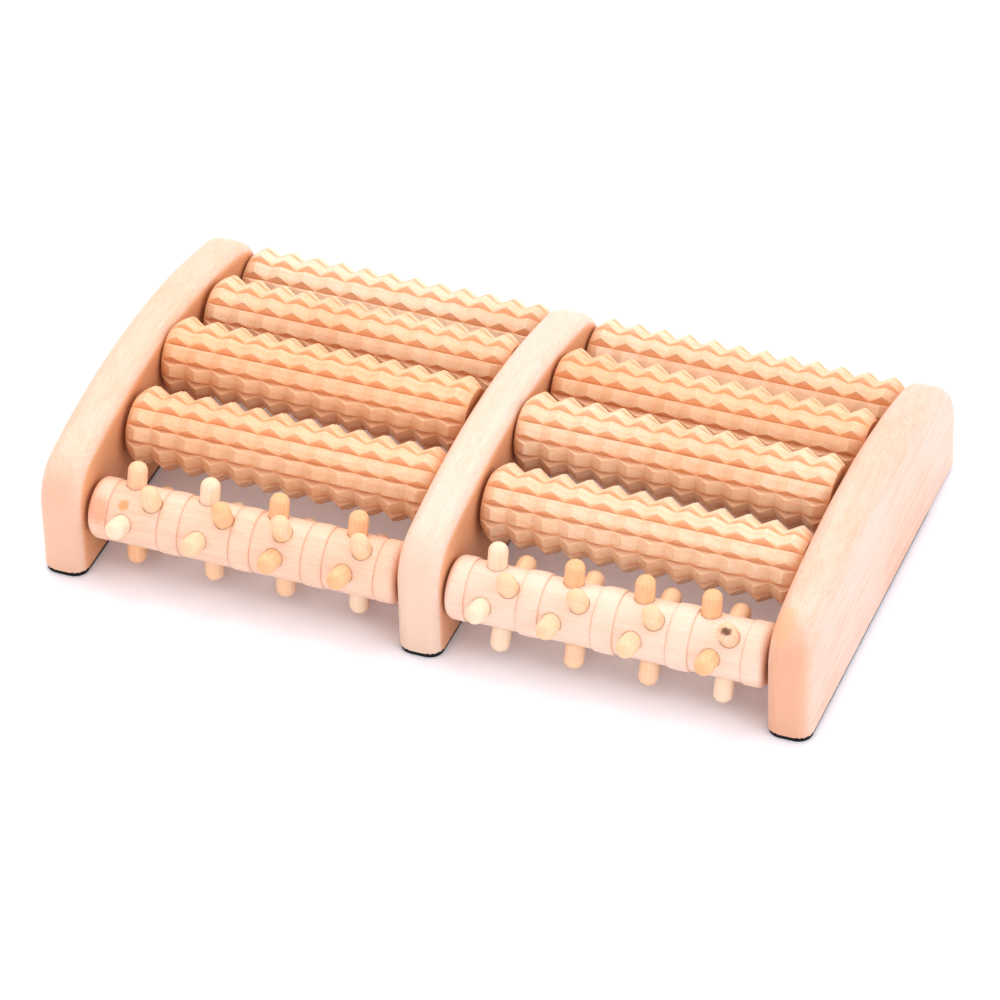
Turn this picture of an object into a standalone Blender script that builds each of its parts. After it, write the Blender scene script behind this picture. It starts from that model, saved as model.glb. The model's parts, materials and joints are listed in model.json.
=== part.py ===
"""Foot massage roller: ten wooden rollers on five axles between three wooden panels.

Frame: metres, X along the axles, front at -Y, +Z up, origin on the ground under the centre.
Row 1 is the front row, with pegs. Rows 2 to 5 are knurled.
"""
import math

import bmesh
import bpy
from mathutils import Matrix

PIECE_GAP = 0.0003

# Panels: left, centre and right, one pitch apart, each standing on a foot strip.
PANEL_PITCH = 0.133
PANEL_THICKNESS = 0.016
PANEL_DEPTH = 0.165
PANEL_TOP = 0.0525
PANEL_EDGE_RADIUS = 0.005
CROWN_RADIUS = 0.266
CROWN_Y = -0.0075
FRONT_CORNER_RADIUS = 0.018
BACK_CORNER_RADIUS = 0.024
STRIP_THICKNESS = 0.0015
STRIP_INSET = 0.0004
STRIP_BACK_Y = 0.050

# Rows: axle heights from front to back.
ROW_PITCH = 0.0346
ROW_HEIGHTS = (0.0235, 0.0348, 0.0403, 0.0348, 0.0235)
AXLE_RADIUS = 0.0025
AXLE_HOLE_RADIUS = AXLE_RADIUS + PIECE_GAP
AXLE_HOLE_DEPTH = 0.010
ROLLER_BORE_RADIUS = 0.0030

# Knurled rollers: V grooves around the roller cross V grooves along it, and leave
# four-sided pyramid teeth in straight rows.
TEETH_ALONG = 12
TEETH_AROUND = 12
TOOTH_PITCH = 0.00955
ROLLER_LENGTH = TEETH_ALONG * TOOTH_PITCH
TOOTH_TIP_RADIUS = 0.0144
TOOTH_ROOT_RADIUS = 0.0121

# Peg rollers: four bands of six pegs, between a collar at each end and three raised rings.
BAND_RADIUS = 0.0108
RAISED_RADIUS = 0.0113
RING_WIDTH = 0.0078
RING_NOTCH_DEPTH = 0.0005
RING_NOTCH_WIDTH = 0.0006
COLLAR_CHAMFER = 0.0012
BAND_COUNT = 4
BAND_PITCH = 0.0268
PEG_RADIUS = 0.0035
PEG_TIP_RADIUS = 0.0195
PEG_ROOT_RADIUS = 0.0080
PEG_SIDES = 8
BAND_SIDES = 16

# The pegs stand in six lines along the roller, drilled by eye. A line is its angle in degrees,
# upwards from the front, and how far along each band's peg is from the middle of its band.
PEG_LINES = {
    "left": (
        (67, (0.0060, 0.0060, 0.0010, 0.0035)),
        (16, (-0.0035, -0.0020, -0.0005, -0.0015)),
        (107, (-0.0030, -0.0025, -0.0035, -0.0010)),
        (-84, (-0.0025, 0.0, 0.0, 0.0005)),
        (190, (0.0020, 0.0020, 0.0020, 0.0020)),
        (233, (-0.0040, -0.0040, -0.0040, -0.0040)),
    ),
    "right": (
        (58, (0.0055, 0.0040, 0.0040, 0.0040)),
        (12, (-0.0030, -0.0045, -0.0025, -0.0015)),
        (105, (-0.0020, -0.0010, -0.0025, -0.0055)),
        (173, (0.0035, 0.0015, 0.0025, 0.0005)),
        (-67, (0.0020, 0.0020, 0.0020, 0.0020)),
        (235, (-0.0030, -0.0030, -0.0030, -0.0030)),
    ),
}

# Where each roller rests, in row order. A tooth angle is a line of teeth's, upwards from the
# back. Play is the slide along the axle.
TOOTH_ANGLES = {"left": (9.0, 19.0, 22.5, -2.5), "right": (11.0, 21.0, 21.5, 18.0)}
AXIAL_PLAY = {"left": (0.0, 0.0007, -0.0005, 0.0007, -0.0003),
              "right": (-0.0004, 0.0004, -0.0003, 0.0, -0.0002)}

SIDES = {"left": -1, "right": 1}
ALONG_X = Matrix.Rotation(math.pi / 2, 4, "Y")
UPRIGHT_IN_YZ = Matrix(((0, 0, 1, 0), (1, 0, 0, 0), (0, 1, 0, 0), (0, 0, 0, 1)))


def clear_scene():
    for obj in list(bpy.data.objects):
        bpy.data.objects.remove(obj, do_unlink=True)


def make_collection(name):
    collection = bpy.data.collections.new(name)
    bpy.context.scene.collection.children.link(collection)
    return collection


def make_material(name, color, roughness, metallic=0.0):
    material = bpy.data.materials.new(name)
    material.use_nodes = True
    shader = material.node_tree.nodes["Principled BSDF"]
    shader.inputs["Base Color"].default_value = (*color, 1.0)
    shader.inputs["Roughness"].default_value = roughness
    shader.inputs["Metallic"].default_value = metallic
    return material


def add_object(name, data, collection, matrix):
    obj = bpy.data.objects.new(name, data)
    obj.matrix_world = matrix
    collection.objects.link(obj)
    return obj


def hide_cutter(obj):
    obj.hide_render = True
    obj.display_type = "WIRE"


def row_y(row):
    return (row - 2) * ROW_PITCH


def roller_place(side, row):
    x = SIDES[side] * PANEL_PITCH / 2 + AXIAL_PLAY[side][row]
    return Matrix.Translation((x, row_y(row), ROW_HEIGHTS[row]))


def cylinder_mesh(name, radius, length, sides):
    mesh = bpy.data.meshes.new(name)
    shape = bmesh.new()
    bmesh.ops.create_cone(shape, cap_ends=True, segments=sides, radius1=radius, radius2=radius,
                          depth=length)
    shape.to_mesh(mesh)
    shape.free()
    mesh.shade_smooth()
    mesh.set_sharp_from_angle(angle=math.radians(40))
    return mesh


def turned_object(name, profile, steps, collection, matrix):
    """Spin a profile of (radius, height) points, listed top to bottom, about the local Z axis."""
    mesh = bpy.data.meshes.new(name)
    points = [(radius, 0.0, height) for radius, height in profile]
    edges = [(index, index + 1) for index in range(len(points) - 1)]
    mesh.from_pydata(points, edges, [])
    obj = add_object(name, mesh, collection, matrix)
    screw = obj.modifiers.new("turn", "SCREW")
    screw.axis = "Z"
    screw.steps = steps
    screw.render_steps = steps
    screw.use_merge_vertices = True
    screw.merge_threshold = 0.00001
    return obj


def boolean(obj, operation, tool=None, tools=None):
    modifier = obj.modifiers.new(operation.lower(), "BOOLEAN")
    modifier.operation = operation
    modifier.solver = "EXACT"
    if tools:
        modifier.operand_type = "COLLECTION"
        modifier.collection = tools
    else:
        modifier.object = tool


def flat_curve(name, points, half_thickness, edge_radius, resolution, collection, matrix):
    """A closed outline filled and thickened, its edges rounded inside the outline."""
    curve = bpy.data.curves.new(name, "CURVE")
    curve.dimensions = "2D"
    curve.fill_mode = "BOTH"
    curve.extrude = half_thickness - edge_radius
    curve.bevel_depth = edge_radius
    curve.bevel_resolution = resolution
    curve.offset = -edge_radius
    spline = curve.splines.new("POLY")
    spline.points.add(len(points) - 1)
    for point, (across, up) in zip(spline.points, points):
        point.co = (across, up, 0.0, 1.0)
    spline.use_cyclic_u = True
    return add_object(name, curve, collection, matrix)


def mesh_from_curve(curve_object, collection):
    """Replace a curve object with a welded mesh object of the same name."""
    bpy.context.view_layer.update()
    evaluated = curve_object.evaluated_get(bpy.context.evaluated_depsgraph_get())
    mesh = bpy.data.meshes.new_from_object(evaluated)
    shape = bmesh.new()
    shape.from_mesh(mesh)
    bmesh.ops.remove_doubles(shape, verts=shape.verts, dist=0.00001)
    bmesh.ops.recalc_face_normals(shape, faces=shape.faces)
    shape.to_mesh(mesh)
    shape.free()
    name, matrix = curve_object.name, curve_object.matrix_world.copy()
    bpy.data.objects.remove(curve_object, do_unlink=True)
    return add_object(name, mesh, collection, matrix)


def arc(center_y, center_z, radius, start, end, count):
    angles = [start + (end - start) * index / count for index in range(count + 1)]
    return [(center_y + radius * math.cos(angle), center_z + radius * math.sin(angle)) for angle in angles]


def corner_center(end_y, sign, radius, crown_z):
    """Centre of a corner arc that touches an upright end and the crown arc."""
    center_y = end_y - sign * radius
    rise = math.sqrt((CROWN_RADIUS - radius) ** 2 - (center_y - CROWN_Y) ** 2)
    return center_y, crown_z + rise


def panel_outline():
    """Back foot, back corner, crown, front corner and front foot, counter-clockwise."""
    half = PANEL_DEPTH / 2
    crown_z = PANEL_TOP - CROWN_RADIUS
    back_y, back_z = corner_center(half, 1, BACK_CORNER_RADIUS, crown_z)
    front_y, front_z = corner_center(-half, -1, FRONT_CORNER_RADIUS, crown_z)
    back_angle = math.atan2(back_z - crown_z, back_y - CROWN_Y)
    front_angle = math.atan2(front_z - crown_z, front_y - CROWN_Y)
    foot_z = -PANEL_EDGE_RADIUS
    points = [(half, foot_z)]
    points += arc(back_y, back_z, BACK_CORNER_RADIUS, 0.0, back_angle, 6)
    points += arc(CROWN_Y, crown_z, CROWN_RADIUS, back_angle, front_angle, 9)[1:-1]
    points += arc(front_y, front_z, FRONT_CORNER_RADIUS, front_angle, math.pi, 6)
    points.append((-half, foot_z))
    return points


def make_panels(parts, cutters, axle_holes, material):
    """The outline reaches below the foot, and one flat cut squares the underside."""
    ground = bpy.data.meshes.new("underside_cut")
    shape = bmesh.new()
    bmesh.ops.create_cube(shape, size=1.0)
    cut_depth = 0.05
    underside = STRIP_THICKNESS + PIECE_GAP
    size = Matrix.Diagonal((0.4, 0.3, cut_depth, 1))
    place = Matrix.Translation((0, 0, underside - cut_depth / 2))
    bmesh.ops.transform(shape, matrix=place @ size, verts=shape.verts)
    shape.to_mesh(ground)
    shape.free()
    underside_cut = add_object("underside_cut", ground, cutters, Matrix.Identity(4))
    hide_cutter(underside_cut)
    for name, place_x in (("left", -PANEL_PITCH), ("center", 0.0), ("right", PANEL_PITCH)):
        matrix = Matrix.Translation((place_x, 0, 0)) @ UPRIGHT_IN_YZ
        outline = flat_curve(f"side_panel_{name}", panel_outline(), PANEL_THICKNESS / 2, PANEL_EDGE_RADIUS,
                             2, parts, matrix)
        panel = mesh_from_curve(outline, parts)
        panel.data.materials.clear()
        panel.data.materials.append(material)
        boolean(panel, "DIFFERENCE", underside_cut)
        for hole in axle_holes:
            boolean(panel, "DIFFERENCE", hole)


def make_foot_strips(parts, material):
    half_width = PANEL_THICKNESS / 2 - STRIP_INSET
    front = -PANEL_DEPTH / 2 + STRIP_INSET
    corner = PANEL_EDGE_RADIUS
    outline = [(half_width, STRIP_BACK_Y), (-half_width, STRIP_BACK_Y)]
    outline += arc(-half_width + corner, front + corner, corner, math.pi, 1.5 * math.pi, 4)
    outline += arc(half_width - corner, front + corner, corner, 1.5 * math.pi, 2 * math.pi, 4)
    for name, place_x in (("left", -PANEL_PITCH), ("center", 0.0), ("right", PANEL_PITCH)):
        matrix = Matrix.Translation((place_x, 0, STRIP_THICKNESS / 2))
        curve = flat_curve(f"foot_strip_{name}", outline, STRIP_THICKNESS / 2, 0.0, 0, parts, matrix)
        strip = mesh_from_curve(curve, parts)
        strip.data.materials.clear()
        strip.data.materials.append(material)


def make_axles(parts, cutters, material):
    """Each axle runs through the centre panel into blind holes in the outer two."""
    inner_face = PANEL_PITCH - PANEL_THICKNESS / 2
    hole_length = 2 * (inner_face + AXLE_HOLE_DEPTH)
    axle_mesh = cylinder_mesh("axle", AXLE_RADIUS, hole_length - 2 * PIECE_GAP, 12)
    axle_mesh.materials.append(material)
    hole_mesh = cylinder_mesh("axle_hole", AXLE_HOLE_RADIUS, hole_length, 12)
    holes = []
    for row, height in enumerate(ROW_HEIGHTS):
        matrix = Matrix.Translation((0, row_y(row), height)) @ ALONG_X
        add_object(f"axle_row_{row + 1}", axle_mesh, parts, matrix)
        hole = add_object(f"axle_hole_row_{row + 1}", hole_mesh, cutters, matrix)
        hide_cutter(hole)
        holes.append(hole)
    return holes


def knurled_mesh(material):
    """A twelve-sided bar cut into rows, with every side face drawn out to a pyramid tooth."""
    mesh = bpy.data.meshes.new("knurled_roller")
    shape = bmesh.new()
    bmesh.ops.create_cone(shape, cap_ends=True, segments=TEETH_AROUND, radius1=TOOTH_ROOT_RADIUS,
                          radius2=TOOTH_ROOT_RADIUS, depth=ROLLER_LENGTH)
    for row in range(1, TEETH_ALONG):
        height = row * TOOTH_PITCH - ROLLER_LENGTH / 2
        everything = shape.verts[:] + shape.edges[:] + shape.faces[:]
        bmesh.ops.bisect_plane(shape, geom=everything, plane_co=(0, 0, height), plane_no=(0, 0, 1))
    side_faces = [face for face in shape.faces if abs(face.normal.z) < 0.5]
    face_radius = TOOTH_ROOT_RADIUS * math.cos(math.pi / TEETH_AROUND)
    bmesh.ops.poke(shape, faces=side_faces, offset=TOOTH_TIP_RADIUS - face_radius, center_mode="MEAN")
    shape.to_mesh(mesh)
    shape.free()
    mesh.materials.append(material)
    return mesh


def make_knurled_rollers(parts, bores, material):
    mesh = knurled_mesh(material)
    first_tooth = 180 / TEETH_AROUND
    for side in SIDES:
        for row in range(1, len(ROW_HEIGHTS)):
            turn = Matrix.Rotation(math.radians(TOOTH_ANGLES[side][row - 1] - first_tooth), 4, "X")
            matrix = roller_place(side, row) @ turn @ ALONG_X
            roller = add_object(f"knurled_roller_{side}_row_{row + 1}", mesh, parts, matrix)
            boolean(roller, "DIFFERENCE", bores[row])


def peg_roller_profile():
    """A collar at each end and a raised ring between bands, each edged by a small notch."""
    half = ROLLER_LENGTH / 2
    notch = BAND_RADIUS - RING_NOTCH_DEPTH
    collar_end = (BAND_COUNT * BAND_PITCH - RING_WIDTH) / 2
    points = [(0.0, half), (RAISED_RADIUS - COLLAR_CHAMFER, half), (RAISED_RADIUS, half - COLLAR_CHAMFER)]
    points += [(RAISED_RADIUS, collar_end + RING_NOTCH_WIDTH), (notch, collar_end)]
    for ring in range(BAND_COUNT - 1):
        center = (BAND_COUNT / 2 - 1 - ring) * BAND_PITCH
        top = center + RING_WIDTH / 2
        bottom = center - RING_WIDTH / 2
        points += [(BAND_RADIUS, top + 2 * RING_NOTCH_WIDTH), (notch, top + RING_NOTCH_WIDTH)]
        points += [(RAISED_RADIUS, top)]
        points += [(RAISED_RADIUS, bottom), (notch, bottom - RING_NOTCH_WIDTH)]
        points += [(BAND_RADIUS, bottom - 2 * RING_NOTCH_WIDTH)]
    points += [(notch, -collar_end), (RAISED_RADIUS, -collar_end - RING_NOTCH_WIDTH)]
    points += [(RAISED_RADIUS, COLLAR_CHAMFER - half), (RAISED_RADIUS - COLLAR_CHAMFER, -half)]
    points.append((0.0, -half))
    return points


def peg_profile():
    """A round peg from its domed tip down to its root inside the roller."""
    shoulder = PEG_TIP_RADIUS - PEG_RADIUS
    tilt = math.radians(45)
    return [(0.0, PEG_TIP_RADIUS),
            (PEG_RADIUS * math.sin(tilt), shoulder + PEG_RADIUS * math.cos(tilt)),
            (PEG_RADIUS, shoulder), (PEG_RADIUS, PEG_ROOT_RADIUS), (0.0, PEG_ROOT_RADIUS)]


def peg_places(side):
    """Position along the roller and angle upwards from the front, for every peg."""
    places = []
    for angle, shifts in PEG_LINES[side]:
        for band, shift in enumerate(shifts):
            along = (band - (BAND_COUNT - 1) / 2) * BAND_PITCH + shift
            places.append((along, math.radians(angle)))
    return places


def make_peg_rollers(parts, cutters, bores, material):
    for side in SIDES:
        place = roller_place(side, 0)
        body = turned_object(f"peg_roller_{side}", peg_roller_profile(), BAND_SIDES, parts, place @ ALONG_X)
        body.data.materials.append(material)
        pegs = make_collection(f"pegs_{side}")
        cutters.children.link(pegs)
        bpy.context.scene.collection.children.unlink(pegs)
        for index, (along, angle) in enumerate(peg_places(side)):
            to_peg = Matrix.Rotation(math.pi / 2 - angle, 4, "X")
            matrix = place @ Matrix.Translation((along, 0, 0)) @ to_peg
            peg = turned_object(f"peg_{side}_{index + 1}", peg_profile(), PEG_SIDES, pegs, matrix)
            hide_cutter(peg)
        boolean(body, "UNION", tools=pegs)
        boolean(body, "DIFFERENCE", bores[0])


def make_roller_bores(cutters):
    inner_face = PANEL_PITCH - PANEL_THICKNESS / 2
    mesh = cylinder_mesh("roller_bore", ROLLER_BORE_RADIUS, 2 * inner_face, 12)
    bores = []
    for row, height in enumerate(ROW_HEIGHTS):
        bore = add_object(f"roller_bore_row_{row + 1}", mesh, cutters,
                          Matrix.Translation((0, row_y(row), height)) @ ALONG_X)
        hide_cutter(bore)
        bores.append(bore)
    return bores


def main():
    clear_scene()
    parts = make_collection("foot_massage_roller")
    cutters = make_collection("cutters")
    panel_wood = make_material("panel_wood", (0.93, 0.73, 0.52), 0.45)
    roller_wood = make_material("roller_wood", (0.86, 0.50, 0.26), 0.55)
    peg_wood = make_material("peg_wood", (0.95, 0.76, 0.57), 0.50)
    rubber = make_material("rubber", (0.02, 0.02, 0.02), 0.80)
    steel = make_material("steel", (0.60, 0.60, 0.62), 0.30, 1.0)
    axle_holes = make_axles(parts, cutters, steel)
    bores = make_roller_bores(cutters)
    make_panels(parts, cutters, axle_holes, panel_wood)
    make_foot_strips(parts, rubber)
    make_peg_rollers(parts, cutters, bores, peg_wood)
    make_knurled_rollers(parts, bores, roller_wood)


main()
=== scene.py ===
"""Foot massage roller: the visual model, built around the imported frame.

Ten wooden rollers on five steel rods between three arched wooden panels. Metres, X along the
rods, the pegged front row at -Y, +Z up.
"""
import json
import math
import random

import bmesh
import bpy
import numpy as np
from mathutils import Matrix, Vector


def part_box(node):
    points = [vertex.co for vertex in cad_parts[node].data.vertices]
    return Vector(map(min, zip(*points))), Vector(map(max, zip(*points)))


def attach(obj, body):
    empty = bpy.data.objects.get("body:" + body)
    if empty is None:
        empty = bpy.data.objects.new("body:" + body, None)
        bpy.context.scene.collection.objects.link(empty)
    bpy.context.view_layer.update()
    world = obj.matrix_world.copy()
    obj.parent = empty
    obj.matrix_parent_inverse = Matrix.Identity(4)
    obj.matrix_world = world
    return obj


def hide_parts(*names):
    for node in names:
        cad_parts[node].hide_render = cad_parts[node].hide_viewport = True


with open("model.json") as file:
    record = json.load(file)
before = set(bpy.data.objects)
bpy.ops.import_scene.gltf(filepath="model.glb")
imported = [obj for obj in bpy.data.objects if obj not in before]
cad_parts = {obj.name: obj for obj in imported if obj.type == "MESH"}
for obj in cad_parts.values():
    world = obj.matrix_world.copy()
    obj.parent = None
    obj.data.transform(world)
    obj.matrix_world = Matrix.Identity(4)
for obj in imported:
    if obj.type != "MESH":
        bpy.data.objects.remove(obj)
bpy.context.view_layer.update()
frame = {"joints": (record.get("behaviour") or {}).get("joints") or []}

SIDES = ("left", "right")
SAME_PLACE = 1e-6

# Light, floor and contrast. A lamp is its place, the point it faces, its size, power and colour.
AMBIENT_OVERHEAD = 1.15
AMBIENT_AT_HORIZON = 1.1
OVERHEAD_FROM = 0.7
AMBIENT_COLOR = (1.0, 0.95, 0.93)
LAMPS = {
    "key": ((-0.3, 0.7, 1.7), (0, 0, 0), 1.3, 13.0, (1.0, 0.99, 0.97)),
    "fill": ((1.6, -0.6, 0.9), (0, 0, 0.02), 1.2, 9.0, (0.60, 0.84, 1.0)),
}
VIEW_GAMMA = 0.8
FLOOR_SIZE = 8.0
FLOOR_COLOR = (0.93, 0.93, 0.97)
FLOOR_GLOW_COLOR = (0.80, 0.70, 0.84)
FLOOR_GLOW = 0.07

# Camera: where it stands, and its turn in degrees.
CAMERA_PLACE = (0.6065, -1.5137, 1.2927)
CAMERA_AZIMUTH = 21.87
CAMERA_ELEVATION = 38.26
CAMERA_ROLL = -1.59
CAMERA_LENS = 212.65
SENSOR_WIDTH = 36.0

# Wood in general. Detail scales are in cycles per metre, across the grain and then along it.
FIBRE_SCALES = (2600.0, 90.0)
STREAK_SCALES = (420.0, 16.0)
BLOTCH_SCALE = 28.0
RING_WANDER = 14.0
RING_WANDER_SCALE = 45.0
RING_WANDER_ALONG = 0.12
FIBRE_BUMP = 0.00012

# Three colours of wood are always those of pale wood, of its growth rings and of its end grain. A
# knot is its centre, its reach along each axis and its colour, in the piece's own frame.

# Panels. The inner faces table holds 1 or -1 for each face towards +X or -X that looks at a roller
# bank. Those faces get painted shade, darker and redder, for the shade between a panel and its
# rollers.
PANEL_COLORS = {
    "left": ((0.80, 0.58, 0.47), (0.76, 0.50, 0.36), (0.78, 0.51, 0.37)),
    "center": ((0.80, 0.62, 0.53), (0.77, 0.56, 0.44), (0.79, 0.60, 0.48)),
    "right": ((0.77, 0.57, 0.48), (0.73, 0.47, 0.33), (0.76, 0.43, 0.28)),
}
PANEL_KNOTS = {
    "left": (),
    "center": (),
    "right": (((-0.004, -0.073, 0.015), (0.005, 0.010, 0.006), (0.77, 0.47, 0.30)),),
}
# Painted shade for a panel's faces that look at a roller bank, where the rollers shade them.
INNER_FACE_SHADE_COLOR = (0.78, 0.40, 0.20)
SHADED_INNER_FACES = {"left": (1,), "center": (1, -1), "right": (-1,)}
EDGE_RADIUS = 0.005
EDGE_STEPS = 9
CROWN_RADIUS = 0.266
CROWN_Y = -0.0075
FRONT_CORNER_RADIUS = 0.018
BACK_CORNER_RADIUS = 0.024
FRONT_CORNER_STEPS = 16
BACK_CORNER_STEPS = 20
CROWN_STEPS = 48
UNDERSIDE_ROUNDING = 0.0006
HOLE_CLEARANCE = 0.0002
STRIP_ROUNDING = 0.0003
STRIP_TO_PANEL = 0.00005

# Rods and the bores that turn on them.
ROD_RADIUS = 0.0025
BORE_RADIUS = 0.0030
ROD_CHAMFER = 0.0004

# Knurled rollers: wide V grooves around the roller, edge to edge, crossed by narrow and deeper
# ones along it, so a tooth is a short ridge with a worn edge. A long groove's lower flank takes a
# wider share of half a tooth than its upper one, as the cutter leaned.
TEETH_ALONG = 12
TEETH_AROUND = 12
TIP_RADIUS = 0.0144
RING_GROOVE_DEPTH = 0.0028
LONG_GROOVE_DEPTH = 0.0030
UPPER_FLANK_SHARE = 0.34
LOWER_FLANK_SHARE = 0.58
WORN_EDGE = 0.02
DEPTH_SPREAD = {"ring": 0.00007, "long": 0.00010, "tip": 0.00010}
KNURL_END_RADIUS = 0.0108
KNURL_COLORS = ((0.87, 0.63, 0.45), (0.82, 0.50, 0.31), (0.77, 0.42, 0.22))
# Painted shade for the lower flank of each long groove, which faces down at rest.
FLANK_SHADE_COLOR = (0.84, 0.36, 0.14)
# Painted highlight for the upper flank of each long groove, which faces up at rest.
FLANK_HIGHLIGHT_COLOR = (0.88, 0.60, 0.42)

# The turn in degrees of each knurled roller's first tooth, and how much warmer its wood is than
# KNURL_COLORS, from row 2 to row 5.
TOOTH_ANGLES = {"left": (9.0, 19.0, 22.5, -2.5), "right": (11.0, 21.0, 21.5, 18.0)}
ROLLER_WARMTH = {"left": (0.02, 0.10, -0.05, -0.28), "right": (-0.12, -0.10, 0.04, -0.15)}

# Peg rollers.
TURNED_SIDES = 96
BAND_RADIUS = 0.0108
RING_RAISE = {"left": 0.0002, "right": 0.0005}
RING_BULGE = 0.0002
RING_WIDTH = 0.0078
GROOVE_DEPTH = {"left": 0.0004, "right": 0.0002}
GROOVE_WIDTH = 0.0005
END_ROUNDING = 0.0030
END_FACE_RADIUS = 0.0055
BAND_COUNT = 4
BAND_PITCH = 0.0268
PEG_RADIUS = 0.0035
PEG_TIP_RADIUS = 0.0195
PEG_DOME_HEIGHT = 0.0034
PEG_ROOT_RADIUS = 0.0080
PEG_ROOT_CHAMFER = 0.0003
PEG_HOLE_CLEARANCE = 0.00012
PEG_ROLLER_COLORS = {
    "left": ((0.85, 0.63, 0.50), (0.82, 0.56, 0.43), (0.82, 0.55, 0.41)),
    "right": ((0.86, 0.68, 0.57), (0.84, 0.62, 0.50), (0.84, 0.61, 0.49)),
}
PEG_ROLLER_KNOTS = {
    "left": (((-0.0530, -0.0090, 0.0062), (0.0042, 0.0060, 0.0060), (0.86, 0.45, 0.31)),
             ((-0.0440, -0.0066, 0.0086), (0.0024, 0.0026, 0.0026), (0.82, 0.42, 0.20))),
    "right": (),
}

# The pegs stand in six lines along the roller. A line is its angle in degrees, upwards from the
# front, and how far along each band's peg is from the middle of its band.
PEG_LINES = {
    "left": (
        (67, (0.0060, 0.0060, 0.0010, 0.0035)),
        (16, (-0.0035, -0.0020, -0.0005, -0.0015)),
        (107, (-0.0030, -0.0025, -0.0035, -0.0010)),
        (-84, (-0.0025, 0.0, 0.0, 0.0005)),
        (190, (0.0020, 0.0020, 0.0020, 0.0020)),
        (233, (-0.0040, -0.0040, -0.0040, -0.0040)),
    ),
    "right": (
        (58, (0.0055, 0.0040, 0.0040, 0.0040)),
        (12, (-0.0030, -0.0045, -0.0025, -0.0015)),
        (105, (-0.0020, -0.0010, -0.0025, -0.0055)),
        (173, (0.0035, 0.0015, 0.0025, 0.0005)),
        (-67, (0.0020, 0.0020, 0.0020, 0.0020)),
        (235, (-0.0030, -0.0030, -0.0030, -0.0030)),
    ),
}

PEG_TONES = {
    "palest": ((0.90, 0.73, 0.58), (0.87, 0.65, 0.48), (0.88, 0.67, 0.50)),
    "pale": ((0.90, 0.66, 0.47), (0.85, 0.56, 0.36), (0.87, 0.58, 0.38)),
    "warm": ((0.87, 0.58, 0.37), (0.82, 0.47, 0.25), (0.84, 0.49, 0.27)),
    "knotted": ((0.88, 0.62, 0.45), (0.84, 0.53, 0.34), (0.86, 0.55, 0.37)),
}
PEG_KNOT = ((0.0004, -0.0006, PEG_TIP_RADIUS - 0.0008), (0.0024, 0.0016, 0.0020), (0.16, 0.07, 0.04))

# Pegs that stand out, as (side, band, line).
WARM_PEGS = {("left", 1, 4), ("left", 2, 1), ("left", 3, 2), ("left", 4, 2), ("left", 3, 3),
             ("left", 4, 3), ("right", 2, 3), ("right", 3, 3), ("right", 4, 3), ("right", 4, 2)}
PALEST_PEG = ("right", 1, 2)
KNOTTED_PEG = ("right", 4, 1)


# ---------------------------------------------------------------- materials

class Nodes:
    """A small helper that adds nodes to a material and wires them up."""

    def __init__(self, material):
        material.use_nodes = True
        self.tree = material.node_tree
        self.shader = self.tree.nodes["Principled BSDF"]

    def add(self, kind, **values):
        node = self.tree.nodes.new(kind)
        for name, value in values.items():
            setattr(node, name, value)
        return node

    def link(self, source, target):
        self.tree.links.new(source, target)

    def feed(self, socket, value):
        """Link a socket, or set a plain value on it."""
        if isinstance(value, bpy.types.NodeSocket):
            self.link(value, socket)
        else:
            socket.default_value = value

    def math(self, operation, first, second=0.0):
        node = self.add("ShaderNodeMath", operation=operation)
        self.feed(node.inputs[0], first)
        self.feed(node.inputs[1], second)
        return node.outputs[0]

    def mapped(self, vector, offset=(0, 0, 0), scale=(1, 1, 1)):
        node = self.add("ShaderNodeMapping")
        self.feed(node.inputs["Vector"], vector)
        node.inputs["Location"].default_value = offset
        node.inputs["Scale"].default_value = scale
        return node.outputs[0]

    def noise(self, vector, scale=1.0, detail=3.0, roughness=0.5):
        node = self.add("ShaderNodeTexNoise")
        self.feed(node.inputs["Vector"], vector)
        node.inputs["Scale"].default_value = scale
        node.inputs["Detail"].default_value = detail
        node.inputs["Roughness"].default_value = roughness
        return node.outputs[0]

    def between(self, value, low, high, to_low=0.0, to_high=1.0):
        """Ease a value that runs from low to high over to to_low to to_high, clamped."""
        node = self.add("ShaderNodeMapRange", interpolation_type="SMOOTHSTEP")
        self.feed(node.inputs[0], value)
        for index, number in enumerate((low, high, to_low, to_high), start=1):
            node.inputs[index].default_value = number
        return node.outputs[0]

    def mix(self, factor, first, second, blend="MIX"):
        node = self.add("ShaderNodeMix", data_type="RGBA", blend_type=blend)
        self.feed(node.inputs[0], factor)
        self.feed(node.inputs[6], first)
        self.feed(node.inputs[7], second)
        return node.outputs[2]

    def bump(self, height, strength, distance):
        node = self.add("ShaderNodeBump")
        self.feed(node.inputs["Height"], height)
        node.inputs["Strength"].default_value = strength
        node.inputs["Distance"].default_value = distance
        self.link(node.outputs[0], self.shader.inputs["Normal"])


def rgba(color):
    return (*color, 1.0)


def shifted(color, warmer):
    """The same wood a little warmer, or paler where warmer is below 0."""
    red, green, blue = color
    return (red, green * (1 - 0.5 * warmer), blue * (1 - warmer))


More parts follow.
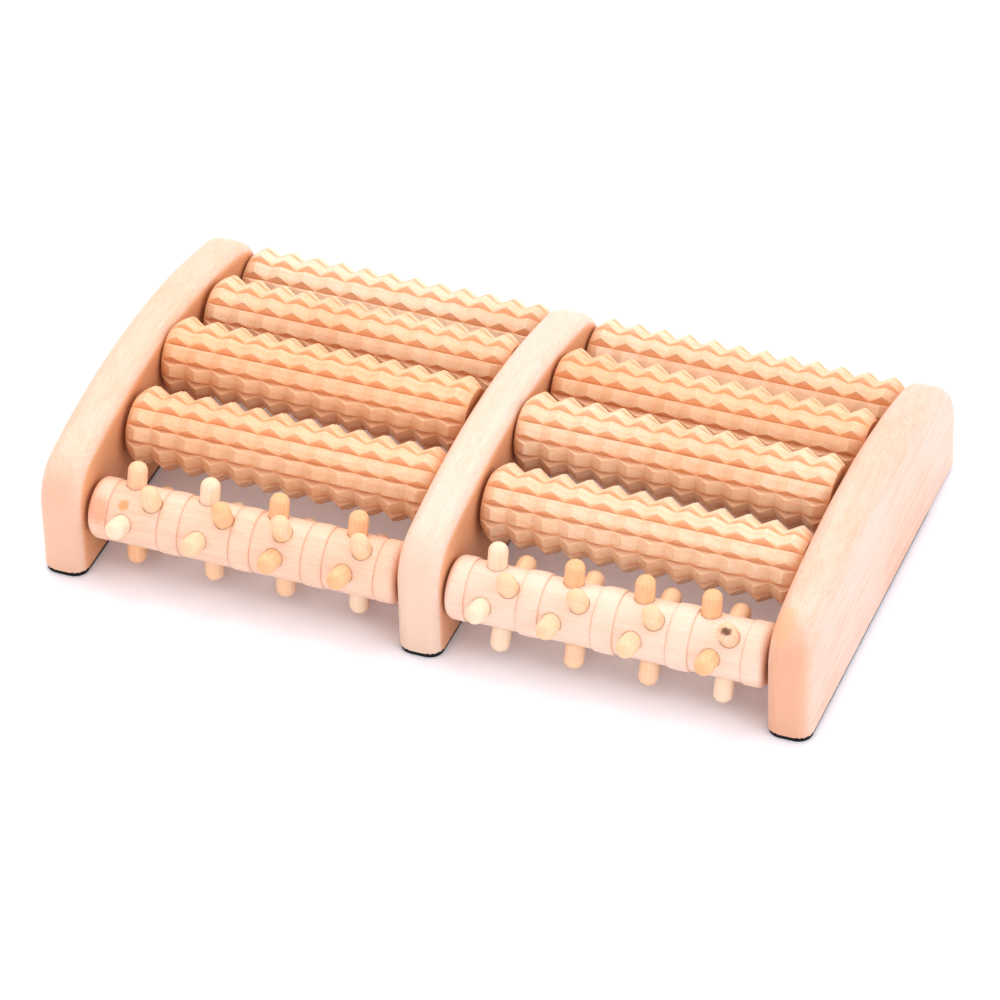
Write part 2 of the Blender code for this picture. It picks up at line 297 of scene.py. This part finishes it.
def wood_material(name, seed, along, pale, dark, end_grain, ring_spacing, ring_strength, roughness,
                  first_groove=None, knots=(), shaded_inner_faces=()):
    """Wood cut from a bar: growth rings about a distant pith, fibres along the grain.

    along is the axis of the grain. Faces that cut across it show the darker end grain. On a
    knurled roller, first_groove is a long groove's angle about X: the lower flank of each long
    groove, which faces down, gets painted shade, and its upper flank, which faces up, gets a
    painted highlight. The inner faces list holds 1 or -1 where the face towards +X or -X gets
    painted shade, darker and redder, as a face beside the rollers.
    """
    material = bpy.data.materials.new(name)
    nodes = Nodes(material)
    draw = random.Random(seed)
    shift = [draw.uniform(-3.0, 3.0) for _ in range(3)]
    source = nodes.add("ShaderNodeTexCoord")
    coords = source.outputs["Object"]
    grain_axis = "XYZ".index(along)

    def stretched(across_grain, along_grain):
        scale = [across_grain] * 3
        scale[grain_axis] = along_grain
        return nodes.mapped(coords, shift, scale)

    across = (grain_axis + 1) % 3
    pith = [0.0, 0.0, 0.0]
    pith[across] = draw.uniform(0.05, 0.09)
    pith[(grain_axis + 2) % 3] = draw.uniform(0.02, 0.05)
    wander = nodes.noise(stretched(1.0, RING_WANDER_ALONG), scale=RING_WANDER_SCALE, detail=2.0)
    wave = nodes.add("ShaderNodeTexWave", wave_type="RINGS", rings_direction=along,
                     wave_profile="SAW")
    nodes.link(nodes.mapped(coords, pith), wave.inputs["Vector"])
    wave.inputs["Scale"].default_value = math.pi / (10 * ring_spacing)
    wave.inputs["Distortion"].default_value = 0.0
    nodes.link(nodes.math("MULTIPLY", wander, RING_WANDER), wave.inputs["Phase Offset"])
    late_wood = nodes.between(wave.outputs["Fac"], 0.45, 1.0)

    fibres = nodes.noise(stretched(*FIBRE_SCALES), detail=3.0, roughness=0.6)
    streaks = nodes.noise(stretched(*STREAK_SCALES), detail=2.0)
    blotches = nodes.noise(stretched(1.0, 1.0), scale=BLOTCH_SCALE, detail=2.0)

    color = nodes.mix(nodes.math("MULTIPLY", late_wood, ring_strength), rgba(pale), rgba(dark))
    color = nodes.mix(nodes.between(streaks, 0.45, 0.75, 0.0, 0.35), color, rgba(dark))
    color = nodes.mix(nodes.between(blotches, 0.35, 0.75, 0.0, 0.35), color, rgba(end_grain))
    color = nodes.mix(0.35, color, nodes.mix(1.0, color, fibres, "OVERLAY"))

    facing = nodes.add("ShaderNodeSeparateXYZ")
    nodes.link(source.outputs["Normal"], facing.inputs[0])
    cut_across = nodes.between(nodes.math("ABSOLUTE", facing.outputs[grain_axis]), 0.45, 0.95)
    color = nodes.mix(nodes.math("MULTIPLY", cut_across, 0.7), color, rgba(end_grain))
    # Painted shade, darker and redder, on the faces that look at a roller bank.
    for sign in shaded_inner_faces:
        inwards = nodes.math("MULTIPLY", facing.outputs["X"], sign)
        painted_inner_shade = nodes.between(inwards, 0.85, 1.0, 0.0, 0.8)
        color = nodes.mix(painted_inner_shade, color, rgba(INNER_FACE_SHADE_COLOR))
    if first_groove is not None:
        from_groove = groove_turns(nodes, coords, first_groove)
        # Painted shade on the lower flank of each long groove, where it faces down.
        shaded_flank_from = 1 - LOWER_FLANK_SHARE / 2
        painted_flank_shade = nodes.between(from_groove, shaded_flank_from, shaded_flank_from + 0.16, 0.0, 0.45)
        color = nodes.mix(painted_flank_shade, color, rgba(FLANK_SHADE_COLOR))
        # Painted highlight on the upper flank of each long groove, where it faces up.
        lit_flank_to = UPPER_FLANK_SHARE / 2
        painted_flank_highlight = nodes.between(from_groove, lit_flank_to, lit_flank_to + 0.05, 0.3, 0.0)
        color = nodes.mix(painted_flank_highlight, color, rgba(FLANK_HIGHLIGHT_COLOR))
    for center, reach, ink in knots:
        color = nodes.mix(knot_mask(nodes, coords, center, reach), color, rgba(ink))
    nodes.link(color, nodes.shader.inputs["Base Color"])

    worn = nodes.between(streaks, 0.3, 0.7, roughness - 0.06, roughness + 0.08)
    nodes.link(worn, nodes.shader.inputs["Roughness"])
    nodes.shader.inputs["Specular IOR Level"].default_value = 0.4
    nodes.shader.inputs["Subsurface Weight"].default_value = 0.06
    nodes.shader.inputs["Subsurface Radius"].default_value = (0.0012, 0.0006, 0.0003)
    height = nodes.math("ADD", nodes.math("MULTIPLY", fibres, 0.6),
                        nodes.math("MULTIPLY", late_wood, 0.4))
    nodes.bump(height, 0.35, FIBRE_BUMP)
    return material


def groove_turns(nodes, coords, first_groove):
    """0 in a long groove of a knurled roller, rising to 1 at the next one around it."""
    parts = nodes.add("ShaderNodeSeparateXYZ")
    nodes.link(coords, parts.inputs[0])
    angle = nodes.math("ARCTAN2", parts.outputs["Z"], parts.outputs["Y"])
    turns = nodes.math("MULTIPLY", nodes.math("SUBTRACT", angle, first_groove),
                       TEETH_AROUND / (2 * math.pi))
    return nodes.math("FRACT", nodes.math("ADD", turns, 2.0 * TEETH_AROUND))


def knot_mask(nodes, coords, center, reach):
    """1 in the middle of a knot, fading out at its ragged edge."""
    ragged = nodes.noise(coords, scale=900.0, detail=2.0)
    scale = [1 / size for size in reach]
    moved = nodes.mapped(coords, [-at * factor for at, factor in zip(center, scale)], scale)
    distance = nodes.add("ShaderNodeVectorMath", operation="LENGTH")
    nodes.link(moved, distance.inputs[0])
    rim = nodes.math("ADD", distance.outputs["Value"], nodes.math("MULTIPLY", ragged, 0.8))
    return nodes.between(rim, 0.9, 1.5, 0.9, 0.0)


def rubber_material():
    material = bpy.data.materials.new("foot_rubber")
    nodes = Nodes(material)
    coords = nodes.add("ShaderNodeTexCoord").outputs["Object"]
    cells = nodes.noise(coords, scale=2400.0, detail=2.0)
    dust = nodes.noise(coords, scale=160.0, detail=3.0)
    shade = nodes.between(dust, 0.4, 0.8, 0.0, 0.35)
    nodes.link(nodes.mix(shade, rgba((0.012, 0.012, 0.013)), rgba((0.045, 0.042, 0.040))),
               nodes.shader.inputs["Base Color"])
    nodes.link(nodes.between(cells, 0.3, 0.7, 0.70, 0.92), nodes.shader.inputs["Roughness"])
    nodes.bump(cells, 0.5, 0.0001)
    return material


def steel_material():
    material = bpy.data.materials.new("axle_steel")
    nodes = Nodes(material)
    coords = nodes.add("ShaderNodeTexCoord").outputs["Object"]
    drawn = nodes.noise(nodes.mapped(coords, scale=(60.0, 3000.0, 3000.0)), detail=3.0)
    nodes.link(nodes.mix(drawn, rgba((0.42, 0.42, 0.43)), rgba((0.66, 0.66, 0.68))),
               nodes.shader.inputs["Base Color"])
    nodes.link(nodes.between(drawn, 0.2, 0.8, 0.22, 0.42), nodes.shader.inputs["Roughness"])
    nodes.shader.inputs["Metallic"].default_value = 1.0
    nodes.bump(drawn, 0.2, 0.00005)
    return material


# ---------------------------------------------------------------- mesh helpers

def add_piece(name, mesh, material, place, body, node):
    piece = bpy.data.objects.new(name, mesh)
    bpy.context.scene.collection.objects.link(piece)
    piece.matrix_world = place
    mesh.materials.append(material)
    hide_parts(node)
    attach(piece, body)
    return piece


def smooth(mesh, sharp_angle=40.0):
    mesh.shade_smooth()
    mesh.set_sharp_from_angle(angle=math.radians(sharp_angle))


def mesh_from_bmesh(name, shape):
    mesh = bpy.data.meshes.new(name)
    bmesh.ops.recalc_face_normals(shape, faces=shape.faces)
    shape.to_mesh(mesh)
    shape.free()
    return mesh


def ring_mesh(name, x_rows, radius_rows, angle_rows):
    """Rings about X, each joined to the next and the last to the first.

    radius_rows and angle_rows hold a radius and an angle for every point of every ring.
    """
    rows, sides = radius_rows.shape
    points = np.empty((rows, sides, 3))
    points[:, :, 0] = x_rows[:, None]
    points[:, :, 1] = radius_rows * np.cos(angle_rows)
    points[:, :, 2] = radius_rows * np.sin(angle_rows)
    faces = []
    for row in range(rows):
        next_row = (row + 1) % rows
        for side in range(sides):
            next_side = (side + 1) % sides
            faces.append((row * sides + side, row * sides + next_side,
                          next_row * sides + next_side, next_row * sides + side))
    mesh = bpy.data.meshes.new(name)
    mesh.from_pydata(points.reshape(-1, 3).tolist(), [], faces)
    return mesh


def cut(mesh_object, cutter_mesh):
    """Cut a closed mesh out of an object's mesh, for good."""
    cutter = bpy.data.objects.new("cutter", cutter_mesh)
    bpy.context.scene.collection.objects.link(cutter)
    cutter.matrix_world = mesh_object.matrix_world
    modifier = mesh_object.modifiers.new("cut", "BOOLEAN")
    modifier.object = cutter
    modifier.operation = "DIFFERENCE"
    modifier.solver = "EXACT"
    bpy.context.view_layer.update()
    evaluated = mesh_object.evaluated_get(bpy.context.evaluated_depsgraph_get())
    result = bpy.data.meshes.new_from_object(evaluated)
    mesh_object.modifiers.clear()
    old = mesh_object.data
    mesh_object.data = result
    bpy.data.objects.remove(cutter, do_unlink=True)
    bpy.data.meshes.remove(cutter_mesh)
    bpy.data.meshes.remove(old)
    return result


def cylinders_mesh(name, radius, depth, sides, places):
    """Separate closed cylinders along the local Z of each place, in one mesh."""
    shape = bmesh.new()
    for place in places:
        bmesh.ops.create_cone(shape, cap_ends=True, segments=sides, radius1=radius, radius2=radius,
                              depth=depth, matrix=place)
    return mesh_from_bmesh(name, shape)


def bevel_rims(shape, axis, offset, segments):
    """Round the edges of a prism's two end faces, which stand square to axis."""
    rims = [edge for edge in shape.edges
            if abs(edge.verts[0].co[axis] - edge.verts[1].co[axis]) < SAME_PLACE]
    bmesh.ops.bevel(shape, geom=rims, offset=offset, segments=segments, affect="EDGES", profile=0.5)


def arc(center, radius, start, end, count):
    """Points on a circle from one angle to another, count steps apart."""
    angles = [start + (end - start) * index / count for index in range(count + 1)]
    return [(center[0] + radius * math.cos(angle), center[1] + radius * math.sin(angle))
            for angle in angles]


# ---------------------------------------------------------------- panels, strips and rods

def panel_outline(low, high, inset):
    """The loaf outline in the YZ plane, drawn in by inset, from the back foot to the front foot."""
    crown = (CROWN_Y, high.z - CROWN_RADIUS)
    corners = []
    for end, sign, radius in ((high.y, 1, BACK_CORNER_RADIUS), (low.y, -1, FRONT_CORNER_RADIUS)):
        center_y = end - sign * radius
        rise = math.sqrt((CROWN_RADIUS - radius) ** 2 - (center_y - CROWN_Y) ** 2)
        corners.append(((center_y, crown[1] + rise), radius - inset))
    (back, back_radius), (front, front_radius) = corners
    back_angle = math.atan2(back[1] - crown[1], back[0] - crown[0])
    front_angle = math.atan2(front[1] - crown[1], front[0] - crown[0])
    points = [(high.y - inset, low.z)]
    points += arc(back, back_radius, 0.0, back_angle, BACK_CORNER_STEPS)
    points += arc(crown, CROWN_RADIUS - inset, back_angle, front_angle, CROWN_STEPS)[1:-1]
    points += arc(front, front_radius, front_angle, math.pi, FRONT_CORNER_STEPS)
    points.append((low.y + inset, low.z))
    return points


def panel_mesh(name, low, high):
    """Outlines lofted across the thickness, so that the long edges come out round."""
    middle = (low + high) / 2
    half = (high.x - low.x) / 2
    loops = []
    for sign in (-1, 1):
        for step in range(EDGE_STEPS + 1):
            turn = math.pi / 2 * (step if sign < 0 else EDGE_STEPS - step) / EDGE_STEPS
            inset = EDGE_RADIUS * (1 - math.sin(turn))
            across = sign * (half - EDGE_RADIUS + EDGE_RADIUS * math.cos(turn))
            loops.append([(across, y, z) for y, z in panel_outline(low, high, inset)])
    shape = bmesh.new()
    rows = [[shape.verts.new(Vector(point) - Vector((0, middle.y, middle.z))) for point in loop]
            for loop in loops]
    for row, next_row in zip(rows, rows[1:]):
        for index in range(len(row) - 1):
            shape.faces.new((row[index], next_row[index], next_row[index + 1], row[index + 1]))
    underside = [row[0] for row in rows] + [row[-1] for row in reversed(rows)]
    bottom = shape.faces.new(underside)
    shape.faces.new(rows[0])
    shape.faces.new(rows[-1])
    bmesh.ops.bevel(shape, geom=list(bottom.edges), offset=UNDERSIDE_ROUNDING, segments=2,
                    affect="EDGES", profile=0.5)
    return mesh_from_bmesh(name, shape)


def make_panels(rod_places):
    for index, name in enumerate(("left", "center", "right")):
        node = f"side_panel_{name}"
        low, high = (Vector(corner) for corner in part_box(node))
        middle = (low + high) / 2
        material = wood_material(f"panel_wood_{name}", 11 + index, "Y", *PANEL_COLORS[name],
                                 ring_spacing=0.0042, ring_strength=0.18, roughness=0.42,
                                 knots=PANEL_KNOTS[name], shaded_inner_faces=SHADED_INNER_FACES[name])
        piece = add_piece(f"wood_panel_{name}", panel_mesh(node, low, high), material,
                          Matrix.Translation(middle), "root", node)
        holes = []
        for rod_low, rod_high, center in rod_places:
            length = rod_high - rod_low + 2 * HOLE_CLEARANCE
            holes.append(Matrix.Translation(center - middle) @ Matrix.Rotation(math.pi / 2, 4, "Y")
                         @ Matrix.Scale(length, 4, (0, 0, 1)))
        cutter = cylinders_mesh("rod_holes", ROD_RADIUS + HOLE_CLEARANCE, 1.0, 48, holes)
        smooth(cut(piece, cutter))
        piece.modifiers.new("weighted_normals", "WEIGHTED_NORMAL").keep_sharp = True


def make_strips():
    material = rubber_material()
    for name in ("left", "center", "right"):
        node = f"foot_strip_{name}"
        low, high = (Vector(corner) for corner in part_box(node))
        panel_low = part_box(f"side_panel_{name}")[0]
        middle = (low + high) / 2
        half_width = (high.x - low.x) / 2
        front = low.y - middle.y
        back = high.y - middle.y
        outline = [(half_width, back), (-half_width, back)]
        for sign, turn in ((-1, math.pi), (1, 1.5 * math.pi)):
            center = (sign * (half_width - EDGE_RADIUS), front + EDGE_RADIUS)
            outline += arc(center, EDGE_RADIUS, turn, turn + math.pi / 2, 10)
        top = panel_low[2] - STRIP_TO_PANEL - middle.z
        bottom = low.z - middle.z
        shape = bmesh.new()
        face = shape.faces.new([shape.verts.new((x, y, bottom)) for x, y in outline])
        raised = bmesh.ops.extrude_face_region(shape, geom=[face])
        lifted = [item for item in raised["geom"] if isinstance(item, bmesh.types.BMVert)]
        bmesh.ops.translate(shape, vec=(0, 0, top - bottom), verts=lifted)
        bevel_rims(shape, 2, STRIP_ROUNDING, 3)
        mesh = mesh_from_bmesh(node, shape)
        smooth(mesh)
        add_piece(f"rubber_strip_{name}", mesh, material, Matrix.Translation(middle), "root", node)


def make_rods():
    material = steel_material()
    places = []
    for row in range(1, 6):
        node = f"axle_row_{row}"
        low, high = (Vector(corner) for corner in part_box(node))
        center = (low + high) / 2
        places.append((low.x, high.x, center))
        half = (high.x - low.x) / 2
        shape = bmesh.new()
        turn = Matrix.Rotation(math.pi / 2, 4, "Y")
        bmesh.ops.create_cone(shape, cap_ends=True, segments=48, radius1=ROD_RADIUS,
                              radius2=ROD_RADIUS, depth=2 * half, matrix=turn)
        bevel_rims(shape, 0, ROD_CHAMFER, 2)
        mesh = mesh_from_bmesh(node, shape)
        smooth(mesh)
        add_piece(f"steel_rod_{row}", mesh, material, Matrix.Translation(center), "root", node)
    return places


# ---------------------------------------------------------------- rollers

def roller_places():
    """{(side, row): centre} of every roller, on its joint's axis and centred on its CAD node."""
    places = {}
    for joint in frame["joints"]:
        side, row = joint["child"].split("_")[1:]
        low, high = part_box(node_name(side, int(row)))
        places[side, int(row)] = Vector(((low[0] + high[0]) / 2, joint["pos_m"][1], joint["pos_m"][2]))
    return places


def node_name(side, row):
    return f"peg_roller_{side}" if row == 1 else f"knurled_roller_{side}_row_{row}"


def tooth_columns(top, groove_depth, flank_share):
    """Half a tooth, from its middle out: [(share of the half tooth, radius)] for every ring.

    top holds the radius of the ridge at every ring. The last point is in the long groove.
    """
    edge = 1 - flank_share * (1 - (TIP_RADIUS - top) / groove_depth)
    edge = np.clip(edge, 0.0, 1 - 2 * WORN_EDGE)
    outer = edge + WORN_EDGE
    flank = TIP_RADIUS - groove_depth * (outer - 1 + flank_share) / flank_share
    bottom = np.full(len(top), TIP_RADIUS - groove_depth)
    return [(np.zeros(len(top)), top), (0.5 * edge, top), (edge - WORN_EDGE, top), (outer, flank),
            (np.ones(len(top)), bottom)]


def knurled_mesh(name, length, turn, seed):
    """A bored bar cut by ring grooves and long grooves, none of them quite alike."""
    draw = np.random.default_rng(seed)
    steps = np.array([0.0, 0.03, 0.12, 0.25, 0.5 - WORN_EDGE, 0.5 + WORN_EDGE, 0.75, 0.88, 0.97])
    place = np.append((np.arange(TEETH_ALONG)[:, None] + steps).ravel(), float(TEETH_ALONG))
    tooth = np.minimum(place.astype(int), TEETH_ALONG - 1)
    from_ridge = np.clip(np.abs(place - tooth - 0.5) * 2, 2 * WORN_EDGE, 1 - WORN_EDGE)
    groove_depths = RING_GROOVE_DEPTH + draw.normal(0.0, DEPTH_SPREAD["ring"], TEETH_ALONG + 1)
    nearest_groove = np.round(place).astype(int)
    ring = TIP_RADIUS - groove_depths[nearest_groove] * from_ridge
    long_depths = LONG_GROOVE_DEPTH + draw.normal(0.0, DEPTH_SPREAD["long"], TEETH_AROUND)
    blunting = np.abs(draw.normal(0.0, DEPTH_SPREAD["tip"], (TEETH_ALONG, TEETH_AROUND)))
    angles = []
    radii = []
    for column in range(TEETH_AROUND):
        top = np.minimum(ring, TIP_RADIUS - blunting[tooth, column])
        before = tooth_columns(top, long_depths[column], UPPER_FLANK_SHARE)
        after = tooth_columns(top, long_depths[(column + 1) % TEETH_AROUND], LOWER_FLANK_SHARE)
        half_tooth = [(-share, radius) for share, radius in reversed(before)] + after[1:-1]
        for share, radius in half_tooth:
            angles.append((column + 0.5 + share / 2) * 2 * math.pi / TEETH_AROUND + turn)
            radii.append(radius)
    radius_rows = np.stack(radii, axis=1)
    angle_rows = np.stack(angles, axis=1)
    x = place * length / TEETH_ALONG - length / 2
    to_end = length / 2 - np.abs(x)
    radius_rows = np.minimum(radius_rows, (KNURL_END_RADIUS + to_end)[:, None])
    bore = np.full((1, radius_rows.shape[1]), BORE_RADIUS)
    x_rows = np.concatenate((x, [length / 2, -length / 2]))
    radius_rows = np.concatenate((radius_rows, bore, bore))
    angle_rows = np.concatenate((angle_rows, angle_rows[-1:], angle_rows[:1]))
    return ring_mesh(name, x_rows, radius_rows, angle_rows)


def make_knurled_rollers(places):
    first_tooth = 180.0 / TEETH_AROUND
    for side in SIDES:
        for row in range(2, 6):
            node = node_name(side, row)
            low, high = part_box(node)
            seed = 100 * row + 10 * SIDES.index(side)
            turn = math.radians(TOOTH_ANGLES[side][row - 2] - first_tooth)
            mesh = knurled_mesh(node, high[0] - low[0], turn, seed)
            smooth(mesh, 24.0)
            colors = [shifted(color, ROLLER_WARMTH[side][row - 2]) for color in KNURL_COLORS]
            material = wood_material(f"roller_wood_{side}_{row}", seed, "X", *colors,
                                     ring_spacing=0.0028, ring_strength=0.40, roughness=0.5,
                                     first_groove=turn)
            add_piece(f"knurled_{side}_{row}", mesh, material, Matrix.Translation(places[side, row]),
                      f"roller_{side}_{row}", node)


def turned_profile(length, raise_by, groove_depth):
    """(x, radius) from the left end face to the right one, bored through the middle."""
    half = length / 2
    raised = BAND_RADIUS + raise_by
    corner_x = half - END_ROUNDING
    corner_radius = raised - END_ROUNDING
    points = [(-half, END_FACE_RADIUS)]
    points += arc((-corner_x, corner_radius), END_ROUNDING, math.pi, math.pi / 2, 6)
    collar_end = (BAND_COUNT * BAND_PITCH - RING_WIDTH) / 2
    points += groove_points(-collar_end, raised, BAND_RADIUS, groove_depth)
    for ring in range(BAND_COUNT - 1):
        middle = (ring - (BAND_COUNT - 2) / 2) * BAND_PITCH
        start = middle - RING_WIDTH / 2
        end = middle + RING_WIDTH / 2
        points += groove_points(start, BAND_RADIUS, raised, groove_depth)
        points += [(middle + RING_WIDTH * part, raised + RING_BULGE * math.cos(math.pi * part))
                   for part in (-0.3, -0.15, 0.0, 0.15, 0.3)]
        points += groove_points(end, raised, BAND_RADIUS, groove_depth)
    points += groove_points(collar_end, BAND_RADIUS, raised, groove_depth)
    points += arc((corner_x, corner_radius), END_ROUNDING, math.pi / 2, 0.0, 6)
    points += [(half, END_FACE_RADIUS), (half, BORE_RADIUS), (-half, BORE_RADIUS)]
    return points


def groove_points(x, before, after, depth):
    """A V groove at x between two radii, with its lips eased."""
    bottom = min(before, after) - depth
    return [(x - GROOVE_WIDTH, before), (x - 0.5 * GROOVE_WIDTH, before - 0.4 * depth),
            (x - 0.1 * GROOVE_WIDTH, bottom), (x + 0.1 * GROOVE_WIDTH, bottom),
            (x + 0.5 * GROOVE_WIDTH, after - 0.4 * depth), (x + GROOVE_WIDTH, after)]


def peg_mesh(name, seed):
    """A short dowel along +Z from its root in the roller to its domed tip."""
    draw = random.Random(seed)
    squareness = draw.uniform(0.75, 1.0)
    shoulder = PEG_TIP_RADIUS - PEG_DOME_HEIGHT
    profile = [(0.0, PEG_ROOT_RADIUS), (PEG_RADIUS - PEG_ROOT_CHAMFER, PEG_ROOT_RADIUS),
               (PEG_RADIUS, PEG_ROOT_RADIUS + PEG_ROOT_CHAMFER),
               (PEG_RADIUS, 0.5 * (PEG_ROOT_RADIUS + shoulder))]
    for step in range(11):
        turn = math.pi / 2 * step / 10
        bulge = math.cos(turn) ** squareness if step < 10 else 0.0
        profile.append((PEG_RADIUS * bulge, shoulder + PEG_DOME_HEIGHT * math.sin(turn)))
    shape = bmesh.new()
    verts = [shape.verts.new((radius, 0.0, height)) for radius, height in profile]
    edges = [shape.edges.new(pair) for pair in zip(verts, verts[1:])]
    bmesh.ops.spin(shape, geom=verts + edges, cent=(0, 0, 0), axis=(0, 0, 1), angle=2 * math.pi,
                   steps=36, use_merge=True)
    bmesh.ops.remove_doubles(shape, verts=shape.verts, dist=0.00001)
    mesh = mesh_from_bmesh(name, shape)
    smooth(mesh, 50.0)
    return mesh


def peg_places(side):
    """(band, line, matrix in the roller's frame) of every peg."""
    places = []
    for line, (angle, shifts) in enumerate(PEG_LINES[side], start=1):
        upright = Matrix.Rotation(math.radians(90 - angle), 4, "X")
        for band, shift in enumerate(shifts, start=1):
            along = (band - (BAND_COUNT + 1) / 2) * BAND_PITCH + shift
            places.append((band, line, Matrix.Translation((along, 0, 0)) @ upright))
    return places


def peg_materials():
    """{tone: material}, with the dark knot at the tip of the knotted one."""
    return {tone: wood_material(f"peg_wood_{tone}", 40 + index, "Z", *colors, ring_spacing=0.0016,
                                ring_strength=0.35, roughness=0.48,
                                knots=(PEG_KNOT,) if tone == "knotted" else ())
            for index, (tone, colors) in enumerate(PEG_TONES.items())}


def peg_tone(side, band, line, draw):
    if (side, band, line) in WARM_PEGS:
        return "warm"
    if (side, band, line) == PALEST_PEG:
        return "palest"
    if (side, band, line) == KNOTTED_PEG:
        return "knotted"
    return draw.choice(("pale", "pale", "palest"))


def make_peg_rollers(places):
    tones = peg_materials()
    for side in SIDES:
        node = node_name(side, 1)
        low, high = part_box(node)
        profile = turned_profile(high[0] - low[0], RING_RAISE[side], GROOVE_DEPTH[side])
        x_rows, radii = np.array(profile).T
        angles = np.arange(TURNED_SIDES) * 2 * math.pi / TURNED_SIDES
        mesh = ring_mesh(node, x_rows, *np.broadcast_arrays(radii[:, None], angles[None, :]))
        material = wood_material(f"peg_roller_wood_{side}", 70 + SIDES.index(side), "X",
                                 *PEG_ROLLER_COLORS[side], ring_spacing=0.0045,
                                 ring_strength=0.25, roughness=0.46, knots=PEG_ROLLER_KNOTS[side])
        place = Matrix.Translation(places[side, 1])
        body = f"roller_{side}_1"
        roller = add_piece(f"peg_roller_body_{side}", mesh, material, place, body, node)
        pegs = peg_places(side)
        hole_radius = PEG_RADIUS + PEG_HOLE_CLEARANCE
        hole_bottom = PEG_ROOT_RADIUS - HOLE_CLEARANCE
        reach = 2 * BAND_RADIUS - hole_bottom
        shift = Matrix.Translation((0, 0, (hole_bottom + reach) / 2))
        holes = cylinders_mesh("peg_holes", hole_radius, reach - hole_bottom, 36,
                               [matrix @ shift for _, _, matrix in pegs])
        smooth(cut(roller, holes))
        draw = random.Random(7 + SIDES.index(side))
        for band, line, matrix in pegs:
            tone = tones[peg_tone(side, band, line, draw)]
            name = f"peg_{side}_{band}_{line}"
            add_piece(name, peg_mesh(name, band * 10 + line), tone, place @ matrix, body, node)


# ---------------------------------------------------------------- stage, light and camera

def make_floor():
    """A matt white floor that glows a little, so that shadows on it stay pale."""
    bpy.ops.mesh.primitive_plane_add(size=FLOOR_SIZE)
    floor = bpy.context.object
    floor.name = "floor"
    material = bpy.data.materials.new("pale_floor")
    nodes = Nodes(material)
    nodes.shader.inputs["Base Color"].default_value = rgba(FLOOR_COLOR)
    nodes.shader.inputs["Roughness"].default_value = 0.9
    nodes.shader.inputs["Specular IOR Level"].default_value = 0.1
    nodes.shader.inputs["Emission Color"].default_value = rgba(FLOOR_GLOW_COLOR)
    nodes.shader.inputs["Emission Strength"].default_value = FLOOR_GLOW
    floor.data.materials.append(material)


def make_light(name, place, target, size, power, color):
    data = bpy.data.lights.new(name, "AREA")
    data.shape = "SQUARE"
    data.size = size
    data.energy = power
    data.color = color
    light = bpy.data.objects.new(name, data)
    bpy.context.scene.collection.objects.link(light)
    light.location = place
    direction = Vector(target) - Vector(place)
    light.rotation_euler = direction.to_track_quat("-Z", "Y").to_euler()


def make_lights():
    """A warm white ambient light, a little weaker at the horizon, and the two soft lamps."""
    world = bpy.data.worlds.new("studio")
    world.use_nodes = True
    tree = world.node_tree
    background = tree.nodes["Background"]
    direction = tree.nodes.new("ShaderNodeTexCoord")
    parts = tree.nodes.new("ShaderNodeSeparateXYZ")
    tree.links.new(direction.outputs["Generated"], parts.inputs[0])
    fade = tree.nodes.new("ShaderNodeMapRange")
    heights = (0.0, OVERHEAD_FROM)
    for index, number in enumerate((*heights, AMBIENT_AT_HORIZON, AMBIENT_OVERHEAD), start=1):
        fade.inputs[index].default_value = number
    tree.links.new(parts.outputs["Z"], fade.inputs[0])
    tree.links.new(fade.outputs[0], background.inputs["Strength"])
    background.inputs["Color"].default_value = rgba(AMBIENT_COLOR)
    bpy.context.scene.world = world
    for name, (place, target, size, power, color) in LAMPS.items():
        make_light(name, place, target, size, power, color)


def make_camera():
    data = bpy.data.cameras.new("camera")
    data.sensor_width = SENSOR_WIDTH
    data.lens = CAMERA_LENS
    data.clip_end = 50.0
    camera = bpy.data.objects.new("camera", data)
    bpy.context.scene.collection.objects.link(camera)
    turn = Matrix.Rotation(math.radians(CAMERA_AZIMUTH), 4, "Z")
    tilt = Matrix.Rotation(math.radians(90 - CAMERA_ELEVATION), 4, "X")
    roll = Matrix.Rotation(math.radians(CAMERA_ROLL), 4, "Z")
    camera.matrix_world = Matrix.Translation(CAMERA_PLACE) @ turn @ tilt @ roll
    bpy.context.scene.camera = camera


def main():
    bpy.context.scene.view_settings.view_transform = "Standard"
    bpy.context.scene.view_settings.gamma = VIEW_GAMMA
    make_camera()
    make_lights()
    make_floor()
    rod_places = make_rods()
    make_panels(rod_places)
    make_strips()
    places = roller_places()
    make_knurled_rollers(places)
    make_peg_rollers(places)


main()
